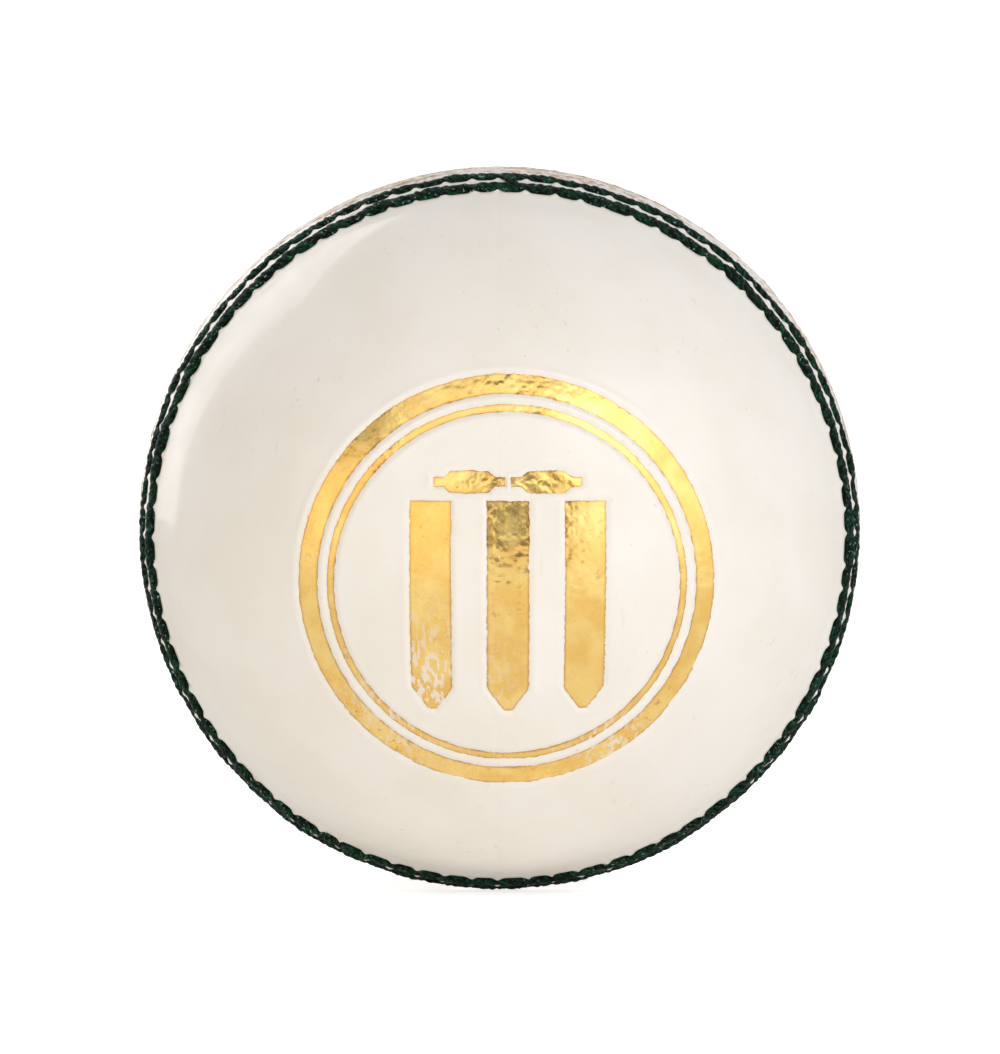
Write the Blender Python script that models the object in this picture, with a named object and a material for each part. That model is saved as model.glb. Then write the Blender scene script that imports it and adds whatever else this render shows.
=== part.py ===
"""Hand-stitched four-piece cricket ball, built from the core outwards.

The origin is the centre of the ball and +Z is up. The seam lies in the XZ plane. The front cup,
which carries the stamped mark, looks along -Y, and its two quarters meet on the plane x = 0. The
rear cup looks along +Y, and its two quarters meet on the plane z = 0, a quarter turn away.
"""

import math

import bmesh
import bpy
from mathutils import Matrix, Vector

MM = 0.001

# The quilt: a moulded nut, yarn windings and laid cork. Each layer starts one gap above the last.
LAYER_GAP = 0.3 * MM
NUT_RADIUS = 13.0 * MM
YARN_THICKNESS = 3.7 * MM
CORK_THICKNESS = 1.8 * MM
OUTER_YARN_THICKNESS = 3.9 * MM
TUCK_HOLE_RADIUS = 1.6 * MM
CORK_STRIPS = 4
CORK_STRIP_GAP = math.radians(3.0)
CORK_POLE_ANGLE = math.radians(9.0)

# The leather cover.
LEATHER_RADIUS = 35.7 * MM
LEATHER_INSIDE = 32.0 * MM
RIDGE_RADIUS = 36.2 * MM
RIDGE_ENDS = 7.0 * MM
DOME_STARTS = 11.5 * MM
JOINT_GAP = 0.3 * MM

# The six rows of stitches, by their distance along the surface from the middle of the seam.
STITCHES = 80
CLOSING_ROW = 1.6 * MM
MIDDLE_ROW = 5.2 * MM
OUTER_ROW = 8.7 * MM
ROWS = (CLOSING_ROW, MIDDLE_ROW, OUTER_ROW)
THREAD_RADIUS = 0.5 * MM
THREAD_TOP = 36.3 * MM
STITCH_SLANT = 0.1 * MM
STITCH_RUN = 0.8
GROOVE_HALF_WIDTH = 1.25 * MM
GROOVE_DEPTH = 1.7 * MM

# The hidden seam that joins the two quarters of a cup, and the leather strip that backs it.
BACKING_INSIDE = 30.1 * MM
BACKING_THICKNESS = 0.6 * MM
BACKING_HALF_WIDTH = 6.0 * MM
BACKING_END = math.radians(6.0)
QUARTER_THREAD_RADIUS = 0.3 * MM
QUARTER_THREAD_CENTRE = 31.35 * MM
QUARTER_STITCH_HALF_WIDTH = 1.3 * MM
QUARTER_STITCHES = 32

# The stamped mark, laid out on the surface of the front cup around a point a little off its pole.
FOIL_BASE = 35.95 * MM
FOIL_THICKNESS = 0.15 * MM
MARK_DROP = 2.9 * MM
MARK_ASIDE = 1.0 * MM
BAND_RADIUS = 21.0 * MM
BAND_WIDTH = 2.2 * MM
INNER_RING_RADIUS = 18.4 * MM
INNER_RING_WIDTH = 0.8 * MM
STUMP_SPACING = 7.8 * MM
STUMP_WIDTH = 4.2 * MM
STUMP_TOP = 8.9 * MM
STUMP_FOOT = -12.8 * MM
STUMP_POINT = 2.4 * MM
BAIL_LIFT = 10.8 * MM
BAIL_HALF_LENGTH = 3.6 * MM
BAIL_HALF_HEIGHTS = (0.45 * MM, 0.5 * MM, 1.05 * MM, 1.2 * MM, 1.05 * MM, 0.5 * MM, 0.45 * MM)

# How finely each round shape is divided.
CUP_STEPS = 40
DOME_STEPS = 7
CUP_INSIDE_STEPS = 6
WINDING_STEPS = 16
WINDING_ARCS = 10
CORK_STEPS = 4
CORK_ARCS = 8
BACKING_STEPS = 16
BACKING_ARCS = 4
RING_STEPS = 36
STUMP_STEPS = 6

# Finishes: base colour, roughness and metallic.
FINISHES = {
    "white_leather": ((0.85, 0.80, 0.73, 1.0), 0.35, 0.0),
    "lining_leather": ((0.50, 0.34, 0.20, 1.0), 0.80, 0.0),
    "green_thread": ((0.010, 0.075, 0.060, 1.0), 0.75, 0.0),
    "natural_thread": ((0.72, 0.62, 0.46, 1.0), 0.80, 0.0),
    "gold_foil": ((0.83, 0.55, 0.20, 1.0), 0.28, 1.0),
    "cork": ((0.42, 0.24, 0.11, 1.0), 0.90, 0.0),
    "cork_rubber": ((0.16, 0.09, 0.06, 1.0), 0.85, 0.0),
    "wool_yarn": ((0.66, 0.60, 0.50, 1.0), 0.95, 0.0),
}

# A profile is drawn in the XZ plane, with its axis along Z. These turn that axis to the cup's, and
# the last lays the axis down, so that a strip turned half round it arches over the cup's pole.
FACING_FRONT = Matrix.Rotation(math.radians(90.0), 4, "X")
FACING_REAR = Matrix.Rotation(math.radians(-90.0), 4, "X") @ Matrix.Rotation(math.radians(90.0), 4, "Z")
ARCHED = Matrix.Rotation(math.radians(90.0), 4, "X") @ Matrix.Rotation(math.radians(90.0), 4, "Y")


def clear_scene():
    for scene_object in list(bpy.data.objects):
        bpy.data.objects.remove(scene_object, do_unlink=True)


def make_finishes():
    """One material for each finish, by name."""
    made = {}
    for name, (colour, roughness, metallic) in FINISHES.items():
        material = bpy.data.materials.new(name)
        material.use_nodes = True
        shader = material.node_tree.nodes["Principled BSDF"]
        shader.inputs["Base Color"].default_value = colour
        shader.inputs["Roughness"].default_value = roughness
        shader.inputs["Metallic"].default_value = metallic
        made[name] = material
    return made


def place(name, data, material, turn=None):
    """Puts a mesh or a curve in the scene as a named object of one finish."""
    placed = bpy.data.objects.new(name, data)
    data.materials.append(material)
    if turn is not None:
        placed.matrix_world = turn
    bpy.context.collection.objects.link(placed)
    return placed


def mesh_from(shape, name):
    """Turns a bmesh into a smooth-shaded mesh whose faces point out."""
    bmesh.ops.remove_doubles(shape, verts=shape.verts, dist=0.001 * MM)
    bmesh.ops.recalc_face_normals(shape, faces=shape.faces)
    mesh = bpy.data.meshes.new(name)
    shape.to_mesh(mesh)
    shape.free()
    mesh.shade_smooth()
    mesh.set_sharp_from_angle(angle=math.radians(40.0))
    return mesh


def revolve(profile, steps, angle=2.0 * math.pi, start=0.0):
    """Turns a closed profile of (distance from the axis, height) points about Z, in a bmesh."""
    shape = bmesh.new()
    placing = Matrix.Rotation(start, 4, "Z")
    corners = [shape.verts.new(placing @ Vector((out, 0.0, height))) for out, height in profile]
    face = shape.faces.new(corners)
    full = angle >= 2.0 * math.pi
    outline = list(face.verts) + list(face.edges)
    bmesh.ops.spin(
        shape,
        geom=outline + ([] if full else [face]),
        cent=(0.0, 0.0, 0.0),
        axis=(0.0, 0.0, 1.0),
        angle=angle,
        steps=steps,
        use_merge=full,
    )
    if full:
        shape.faces.remove(face)
    return shape


def arc(radius, first, last, pieces):
    """(distance from the axis, height) points along an arc about the centre, by angle from the axis."""
    angles = [first + (last - first) * step / pieces for step in range(pieces + 1)]
    return [(radius * math.sin(angle), radius * math.cos(angle)) for angle in angles]


def clear_of(radius, arc_angle, turn_angle):
    """The radius for a hollow's corners that keeps the flats between them outside the given radius."""
    return radius / (math.cos(arc_angle / 2.0) * math.cos(turn_angle / 2.0))


# The quilt.


def make_nut(finishes):
    shape = bmesh.new()
    bmesh.ops.create_icosphere(shape, subdivisions=3, radius=NUT_RADIUS)
    place("cork_rubber_nut", mesh_from(shape, "cork_rubber_nut"), finishes["cork_rubber"])


def make_winding(name, inside, thickness, turn, finishes):
    """A ball of wound yarn over the layer below, with the hole where the yarn's end is tucked in."""
    outside = inside + thickness
    arc_angle = math.pi / WINDING_ARCS
    hollow = clear_of(inside, arc_angle, 2.0 * math.pi / WINDING_STEPS)
    outer = arc(outside, math.asin(TUCK_HOLE_RADIUS / outside), math.pi, WINDING_ARCS)
    inner = arc(hollow, math.pi, math.asin(TUCK_HOLE_RADIUS / hollow), WINDING_ARCS)
    shape = revolve(outer + inner, WINDING_STEPS)
    place(name, mesh_from(shape, name), finishes["wool_yarn"], turn)
    return outside


def make_cork_layer(name, inside, turn, finishes):
    """Four strips of laid cork, side by side round the winding below."""
    arc_angle = (math.pi - 2.0 * CORK_POLE_ANGLE) / CORK_ARCS
    width = 2.0 * math.pi / CORK_STRIPS - CORK_STRIP_GAP
    hollow = clear_of(inside, arc_angle, width / CORK_STEPS)
    outside = inside + CORK_THICKNESS
    outer = arc(outside, CORK_POLE_ANGLE, math.pi - CORK_POLE_ANGLE, CORK_ARCS)
    inner = arc(hollow, math.pi - CORK_POLE_ANGLE, CORK_POLE_ANGLE, CORK_ARCS)
    for strip in range(CORK_STRIPS):
        start = strip * 2.0 * math.pi / CORK_STRIPS
        shape = revolve(outer + inner, CORK_STEPS, width, start)
        strip_name = f"{name}_{strip + 1}"
        place(strip_name, mesh_from(shape, strip_name), finishes["cork"], turn)
    return outside


def make_quilt(finishes):
    """The nut, three windings and two cork layers, each one gap above the last."""
    make_nut(finishes)
    upright = Matrix.Identity(4)
    sideways = Matrix.Rotation(math.radians(90.0), 4, "Y")
    tilted = Matrix.Rotation(math.radians(60.0), 4, "X")
    radius = NUT_RADIUS + LAYER_GAP
    radius = make_winding("inner_yarn_winding", radius, YARN_THICKNESS, sideways, finishes)
    radius = make_cork_layer("inner_cork_strip", radius + LAYER_GAP, upright, finishes)
    radius = make_winding("middle_yarn_winding", radius + LAYER_GAP, YARN_THICKNESS, tilted, finishes)
    radius = make_cork_layer("outer_cork_strip", radius + LAYER_GAP, sideways, finishes)
    make_winding("outer_yarn_winding", radius + LAYER_GAP, OUTER_YARN_THICKNESS, FACING_REAR, finishes)


# The leather cover.


def leather_radius(distance):
    """The radius of the leather by distance from the seam: a low ridge that falls to the dome."""
    share = (distance - RIDGE_ENDS) / (DOME_STARTS - RIDGE_ENDS)
    share = min(1.0, max(0.0, share))
    ease = share * share * (3.0 - 2.0 * share)
    return RIDGE_RADIUS + (LEATHER_RADIUS - RIDGE_RADIUS) * ease


def cup_profile():
    """The section of one cup, from its lip past the three grooves to the pole, and back inside."""
    stops = []
    for row in ROWS:
        stops.append((row - GROOVE_HALF_WIDTH, 0.0))
        stops.append((row, GROOVE_DEPTH))
        stops.append((row + GROOVE_HALF_WIDTH, 0.0))
    stops.append((DOME_STARTS, 0.0))
    outer = [(RIDGE_RADIUS, JOINT_GAP / 2.0)]
    for distance, depth in stops:
        latitude = distance / LEATHER_RADIUS
        radius = leather_radius(distance) - depth
        outer.append((radius * math.cos(latitude), radius * math.sin(latitude)))
    dome_angle = math.pi / 2.0 - DOME_STARTS / LEATHER_RADIUS
    outer += arc(LEATHER_RADIUS, dome_angle, 0.0, DOME_STEPS)[1:]
    inside_angle = math.pi / 2.0 / CUP_INSIDE_STEPS
    hollow = clear_of(LEATHER_INSIDE, inside_angle, 2.0 * math.pi / CUP_STEPS)
    inner = arc(hollow, 0.0, math.pi / 2.0, CUP_INSIDE_STEPS)
    inner[-1] = (hollow, JOINT_GAP / 2.0)
    return outer + inner


def make_quarter(name, side, turn, finishes):
    """One quarter of the cover: the cup's section turned all round, then cut on the quarter seam."""
    shape = revolve(cup_profile(), CUP_STEPS)
    bmesh.ops.remove_doubles(shape, verts=shape.verts, dist=0.001 * MM)
    everything = list(shape.verts) + list(shape.edges) + list(shape.faces)
    cut = bmesh.ops.bisect_plane(
        shape,
        geom=everything,
        plane_co=(side * JOINT_GAP / 2.0, 0.0, 0.0),
        plane_no=(side, 0.0, 0.0),
        clear_inner=True,
    )
    edges = [part for part in cut["geom_cut"] if isinstance(part, bmesh.types.BMEdge)]
    bmesh.ops.edgeloop_fill(shape, edges=edges)
    place(name, mesh_from(shape, name), finishes["white_leather"], turn)


def make_backing(name, turn, finishes):
    """The strip of thin leather glued inside a cup, over the stitches of the quarter seam."""
    half_angle = BACKING_HALF_WIDTH / BACKING_INSIDE
    length_angle = math.pi - 2.0 * BACKING_END
    hollow = clear_of(BACKING_INSIDE, 2.0 * half_angle / BACKING_ARCS, length_angle / BACKING_STEPS)
    outside = BACKING_INSIDE + BACKING_THICKNESS
    across = math.pi / 2.0
    outer = arc(outside, across - half_angle, across + half_angle, BACKING_ARCS)
    inner = arc(hollow, across + half_angle, across - half_angle, BACKING_ARCS)
    shape = revolve(outer + inner, BACKING_STEPS, length_angle, BACKING_END)
    place(name, mesh_from(shape, name), finishes["lining_leather"], turn @ ARCHED)


# The threads.


def make_thread(name, points, radius, closed, material, turn=None):
    """A thread along the given points, as a round-section curve."""
    curve = bpy.data.curves.new(name, "CURVE")
    curve.dimensions = "3D"
    curve.bevel_depth = radius
    curve.bevel_resolution = 0
    curve.use_fill_caps = not closed
    curve.twist_mode = "MINIMUM"
    spline = curve.splines.new("POLY")
    spline.points.add(len(points) - 1)
    for corner, point in zip(spline.points, points):
        corner.co = (*point, 1.0)
    spline.use_cyclic_u = closed
    spline.use_smooth = True
    place(name, curve, material, turn)


def make_quarter_thread(name, turn, finishes):
    """The hidden thread that joins the two quarters, crossing from one to the other at each stitch."""
    points = []
    for stitch in range(QUARTER_STITCHES + 1):
        angle = BACKING_END + (math.pi - 2.0 * BACKING_END) * stitch / QUARTER_STITCHES
        side = 1.0 if stitch % 2 else -1.0
        across = side * QUARTER_STITCH_HALF_WIDTH
        height = math.sqrt(QUARTER_THREAD_CENTRE**2 - across**2)
        points.append((across, height * math.cos(angle), height * math.sin(angle)))
    make_thread(name, points, QUARTER_THREAD_RADIUS, False, finishes["natural_thread"], turn)


def make_row(name, side, distance, slanted, material):
    """One row of stitches round the ball. A slanted stitch runs across the row, then steps back."""
    centre = THREAD_TOP - THREAD_RADIUS
    points = []
    for stitch in range(STITCHES):
        ends = ((0.0, STITCH_SLANT), (STITCH_RUN, -STITCH_SLANT)) if slanted else ((0.0, 0.0),)
        for along, across in ends:
            turn = 2.0 * math.pi * (stitch + along) / STITCHES
            latitude = side * (distance + across) / LEATHER_RADIUS
            out = centre * math.cos(latitude)
            points.append((out * math.cos(turn), centre * math.sin(latitude), out * math.sin(turn)))
    make_thread(name, points, THREAD_RADIUS, True, material)


def make_seam(finishes):
    """Six rows: one closing row and two outer rows on each cup."""
    for cup, side in (("front", -1.0), ("rear", 1.0)):
        make_row(f"{cup}_closing_row", side, CLOSING_ROW, False, finishes["natural_thread"])
        make_row(f"{cup}_middle_row", side, MIDDLE_ROW, True, finishes["green_thread"])
        make_row(f"{cup}_outer_row", side, OUTER_ROW, True, finishes["green_thread"])


# The stamped mark.


def on_front_cup(right, up):
    """The point above the front cup's leather at these distances from the middle of the mark."""
    right += MARK_ASIDE
    up -= MARK_DROP
    distance = math.hypot(right, up)
    if distance == 0.0:
        return Vector((0.0, -FOIL_BASE, 0.0))
    angle = distance / LEATHER_RADIUS
    outward = FOIL_BASE * math.sin(angle) / distance
    return Vector((right * outward, -FOIL_BASE * math.cos(angle), up * outward))


def make_foil(name, strip, finishes, closed=False):
    """A strip of foil between two edges, given as pairs of (right, up) points, with its thickness."""
    shape = bmesh.new()
    rails = [[shape.verts.new(on_front_cup(*point)) for point in pair] for pair in strip]
    following = rails[1:] + rails[:1] if closed else rails[1:]
    for (left, right), (next_left, next_right) in zip(rails, following):
        shape.faces.new((left, right, next_right, next_left))
    mesh = bpy.data.meshes.new(name)
    shape.to_mesh(mesh)
    shape.free()
    foil = place(name, mesh, finishes["gold_foil"])
    thickness = foil.modifiers.new("thickness", "SOLIDIFY")
    thickness.thickness = FOIL_THICKNESS
    thickness.offset = 1.0
    return foil


def ring_strip(radius, width):
    """The two edges of a ring, going anticlockwise as seen from the front."""
    inner = radius - width / 2.0
    outer = radius + width / 2.0
    pairs = []
    for step in range(RING_STEPS):
        angle = 2.0 * math.pi * step / RING_STEPS
        right, up = math.cos(angle), math.sin(angle)
        pairs.append(((inner * right, inner * up), (outer * right, outer * up)))
    return pairs


def stump_strip(middle):
    """The two edges of a stump, from its top down to its point."""
    straight = STUMP_TOP - STUMP_FOOT - STUMP_POINT
    half = STUMP_WIDTH / 2.0
    rows = [(STUMP_TOP - straight * step / STUMP_STEPS, half) for step in range(STUMP_STEPS + 1)]
    rows.append((STUMP_FOOT, half * 0.2))
    return [((middle - width, up), (middle + width, up)) for up, width in rows]


def bail_strip(middle):
    """The two edges of a turned bail: a barrel with a thin spigot at each end."""
    pieces = len(BAIL_HALF_HEIGHTS) - 1
    pairs = []
    for step, height in enumerate(BAIL_HALF_HEIGHTS):
        right = middle + BAIL_HALF_LENGTH * (2.0 * step / pieces - 1.0)
        pairs.append(((right, BAIL_LIFT - height), (right, BAIL_LIFT + height)))
    return pairs


def make_mark(finishes):
    """A plain ring and a wicket: three stumps and two bails."""
    make_foil("foil_outer_band", ring_strip(BAND_RADIUS, BAND_WIDTH), finishes, closed=True)
    make_foil("foil_inner_ring", ring_strip(INNER_RING_RADIUS, INNER_RING_WIDTH), finishes, closed=True)
    for name, place_along in (("left", -1.0), ("middle", 0.0), ("right", 1.0)):
        make_foil(f"foil_{name}_stump", stump_strip(place_along * STUMP_SPACING), finishes)
    for name, place_along in (("left", -0.5), ("right", 0.5)):
        make_foil(f"foil_{name}_bail", bail_strip(place_along * STUMP_SPACING), finishes)


def make_ball():
    clear_scene()
    finishes = make_finishes()
    make_quilt(finishes)
    make_quarter("front_left_quarter", -1.0, FACING_FRONT, finishes)
    make_quarter("front_right_quarter", 1.0, FACING_FRONT, finishes)
    make_quarter("rear_upper_quarter", -1.0, FACING_REAR, finishes)
    make_quarter("rear_lower_quarter", 1.0, FACING_REAR, finishes)
    for cup, turn in (("front", FACING_FRONT), ("rear", FACING_REAR)):
        make_backing(f"{cup}_quarter_seam_backing", turn, finishes)
        make_quarter_thread(f"{cup}_quarter_seam_thread", turn, finishes)
    make_seam(finishes)
    make_mark(finishes)


make_ball()
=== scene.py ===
"""The finished look of a hand-stitched, four-piece cricket ball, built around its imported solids.

The origin is the centre of the ball and +Z is up. The seam lies in the XZ plane. The front cup, which
carries the gold stamp, looks along -Y and its two quarters meet on x = 0. The rear cup looks along +Y
and its two quarters meet on z = 0. A place on the ball is given by its turn round the seam, from +Z
towards +X, and by its distance over the leather from the middle of the seam.
"""

import functools
import itertools
import logging
import math
from dataclasses import dataclass, field
from enum import Enum

import bmesh
import bpy
import numpy as np
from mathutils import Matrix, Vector


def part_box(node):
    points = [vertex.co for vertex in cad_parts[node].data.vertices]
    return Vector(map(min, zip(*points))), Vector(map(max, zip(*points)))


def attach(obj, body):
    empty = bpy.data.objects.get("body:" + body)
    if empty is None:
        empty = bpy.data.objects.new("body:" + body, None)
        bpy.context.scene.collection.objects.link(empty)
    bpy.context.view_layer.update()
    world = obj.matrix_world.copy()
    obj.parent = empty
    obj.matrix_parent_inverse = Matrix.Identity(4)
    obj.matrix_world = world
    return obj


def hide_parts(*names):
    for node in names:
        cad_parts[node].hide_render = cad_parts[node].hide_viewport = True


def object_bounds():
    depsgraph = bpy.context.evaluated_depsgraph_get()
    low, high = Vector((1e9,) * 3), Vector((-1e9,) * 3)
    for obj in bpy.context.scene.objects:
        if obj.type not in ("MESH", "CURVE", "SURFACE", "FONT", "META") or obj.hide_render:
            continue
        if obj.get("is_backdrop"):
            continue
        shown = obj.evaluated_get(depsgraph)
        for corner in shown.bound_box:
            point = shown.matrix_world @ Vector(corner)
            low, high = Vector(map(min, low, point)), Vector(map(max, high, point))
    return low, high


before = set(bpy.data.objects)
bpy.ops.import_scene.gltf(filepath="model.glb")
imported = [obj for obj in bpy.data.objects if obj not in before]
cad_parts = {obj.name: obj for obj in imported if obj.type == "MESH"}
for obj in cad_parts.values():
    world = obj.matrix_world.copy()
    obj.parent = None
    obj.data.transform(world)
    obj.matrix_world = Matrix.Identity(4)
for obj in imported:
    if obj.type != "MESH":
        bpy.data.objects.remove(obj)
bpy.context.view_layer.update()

LOG = logging.getLogger("cricket_ball")
MM = 0.001
FULL_TURN = 2.0 * math.pi
HALF_TURN = math.pi
QUARTER_TURN = math.pi / 2.0

Faces = list[tuple[int, ...]]
Colour = tuple[float, float, float, float]
Socket = bpy.types.NodeSocket
Material = bpy.types.Material


class Slot(Enum):
    """The finishes that the record names."""

    WHITE_LEATHER = "white_leather"
    LINING_LEATHER = "lining_leather"
    GREEN_THREAD = "green_thread"
    NATURAL_THREAD = "natural_thread"
    GOLD_FOIL = "gold_foil"
    CORK = "cork"
    CORK_RUBBER = "cork_rubber"
    WOOL_YARN = "wool_yarn"


class Cup(Enum):
    """The two halves of the cover, by the side of the seam on which each one lies."""

    FRONT = -1.0
    REAR = 1.0


def dye(tint: str) -> Colour:
    """The linear colour of a six-figure hex tint."""
    parts = [int(tint[place : place + 2], 16) / 255.0 for place in (0, 2, 4)]
    linear = [part / 12.92 if part <= 0.04045 else ((part + 0.055) / 1.055) ** 2.4 for part in parts]
    return (linear[0], linear[1], linear[2], 1.0)


def ease(share: np.ndarray) -> np.ndarray:
    """A smooth step from 0 to 1."""
    held = np.clip(share, 0.0, 1.0)
    return held * held * (3.0 - 2.0 * held)


def bell(offset: np.ndarray, width: float | np.ndarray) -> np.ndarray:
    """A smooth hump, 1 at no offset and nearly 0 two widths away."""
    return np.exp(-((offset / width) ** 2))


@functools.lru_cache
def lattice(seed: int, cells: int) -> np.ndarray:
    """Fixed random values from -1 to 1, on a cube of cells."""
    return np.random.default_rng(seed).uniform(-1.0, 1.0, (cells,) * 3)


@dataclass(frozen=True)
class Unevenness:
    """Smooth, repeatable unevenness: fixed random values on a lattice, eased from one to the next."""

    size: float
    seed: int
    cells: int = 64

    def at(self, points: np.ndarray) -> np.ndarray:
        """The unevenness at some points.

        Args:
            points: Coordinates in metres, with the last axis of length 3.

        Returns:
            One value for each point, from -1 to 1.
        """
        values = lattice(self.seed, self.cells)
        scaled = points / self.size + self.cells / 2.0
        low = np.floor(scaled).astype(int)
        share = ease(scaled - low)
        total = np.zeros(points.shape[:-1])
        for corner in itertools.product((0, 1), repeat=3):
            weight = np.prod(np.where(corner, share, 1.0 - share), axis=-1)
            x, y, z = np.moveaxis((low + corner) % self.cells, -1, 0)
            total += weight * values[x, y, z]
        return total


def crumbs(points: np.ndarray, size: float, fine_size: float, seed: int) -> np.ndarray:
    """Rounded lumps with finer ones over them, from 0 to 1.5."""
    coarse = np.abs(Unevenness(size, seed).at(points))
    return coarse + 0.5 * np.abs(Unevenness(fine_size, seed + 1).at(points))


class Body:
    """Vertices and faces gathered for one piece, with the values its finish reads at each vertex."""

    def __init__(self, *marks: str) -> None:
        """Starts an empty body.

        Args:
            marks: The names of the values that every vertex carries.
        """
        self.points: list[np.ndarray] = []
        self.faces: Faces = []
        self.marks: dict[str, list[np.ndarray]] = {mark: [] for mark in marks}
        self.count = 0

    def add(self, points: np.ndarray, **marks: np.ndarray) -> np.ndarray:
        """Adds vertices.

        Args:
            points: Coordinates, with the last axis of length 3.
            marks: The finish's values at the same points.

        Returns:
            The numbers of the new vertices, in the shape of the points.
        """
        shape = points.shape[:-1]
        total = int(np.prod(shape))
        self.points.append(points.reshape(total, 3))
        for name, values in marks.items():
            self.marks[name].append(values.reshape(total, -1))
        self.count += total
        return np.arange(self.count - total, self.count).reshape(shape)

    def bridge(self, first: np.ndarray, second: np.ndarray) -> None:
        """Joins two strips of vertices, of which one may be divided a whole number of times finer."""
        fine, coarse = (first, second) if len(first) >= len(second) else (second, first)
        ratio = (len(fine) - 1) // (len(coarse) - 1)
        for step in range(len(coarse) - 1):
            edge = fine[step * ratio : (step + 1) * ratio + 1]
            self.faces.append((*edge.tolist(), int(coarse[step + 1]), int(coarse[step])))

    def fan(self, strip: np.ndarray, tip: int) -> None:
        """Joins a strip of vertices to one more."""
        self.faces += [(int(a), int(b), tip) for a, b in itertools.pairwise(strip)]

    def sheet(self, grid: np.ndarray) -> None:
        """Fills a grid of vertices with four-sided faces."""
        corners = (grid[:-1, :-1], grid[:-1, 1:], grid[1:, 1:], grid[1:, :-1])
        self.faces += [tuple(face) for face in np.stack(corners, axis=-1).reshape(-1, 4).tolist()]

    def tubes(self, grid: np.ndarray, capped: bool = True) -> None:
        """Fills tubes whose vertices run along each one, and round it on the last axis.

        Args:
            grid: Vertex numbers by tube, by place along it and by place round it.
            capped: Whether the ends are closed with a face, or joined to each other.
        """
        if not capped:
            grid = np.concatenate([grid, grid[:, :1]], axis=1)
        around = np.concatenate([grid, grid[:, :, :1]], axis=2)
        for tube in around:
            self.sheet(tube)
        if capped:
            for tube in grid:
                self.faces += [tuple(tube[0].tolist()), tuple(tube[-1].tolist())]

    def slab(self, outer: np.ndarray, inner: np.ndarray, joined: bool = False, **marks: np.ndarray) -> None:
        """Adds a closed slab between two matching grids of points.

        Args:
            outer: Points of the outer side, by place along the slab and place across it.
            inner: Points of the inner side.
            joined: Whether the slab's end meets its start, as in a ring.
            marks: The finish's values on the grid, the same on both sides.
        """
        top = self.add(outer, **marks)
        under = self.add(inner, **marks)
        if joined:
            top = np.concatenate([top, top[:1]])
            under = np.concatenate([under, under[:1]])
        else:
            self.bridge(top[0], under[0])
            self.bridge(top[-1], under[-1])
        self.sheet(top)
        self.sheet(under)
        self.bridge(top[:, 0], under[:, 0])
        self.bridge(top[:, -1], under[:, -1])

    def place(self, name: str, finish: Material, slot: Slot) -> None:
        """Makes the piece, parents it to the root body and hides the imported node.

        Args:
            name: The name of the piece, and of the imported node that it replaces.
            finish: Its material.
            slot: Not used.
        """
        mesh = bpy.data.meshes.new(name)
        mesh.from_pydata(np.concatenate(self.points).tolist(), [], self.faces)
        for mark, values in self.marks.items():
            at_vertices = np.concatenate(values)
            kind, socket = ("FLOAT", "value") if at_vertices.shape[1] == 1 else ("FLOAT_VECTOR", "vector")
            layer = mesh.attributes.new(mark, kind, "POINT")
            layer.data.foreach_set(socket, at_vertices.astype(np.float32).ravel())
        shape = bmesh.new()
        shape.from_mesh(mesh)
        bmesh.ops.recalc_face_normals(shape, faces=shape.faces)
        shape.to_mesh(mesh)
        shape.free()
        mesh.shade_smooth()
        mesh.set_sharp_from_angle(angle=math.radians(60.0))
        piece = bpy.data.objects.new(name, mesh)
        bpy.context.scene.collection.objects.link(piece)
        mesh.materials.append(finish)
        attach(piece, "root")
        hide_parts(name)
        LOG.info("%s: %d faces", name, len(mesh.polygons))


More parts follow.
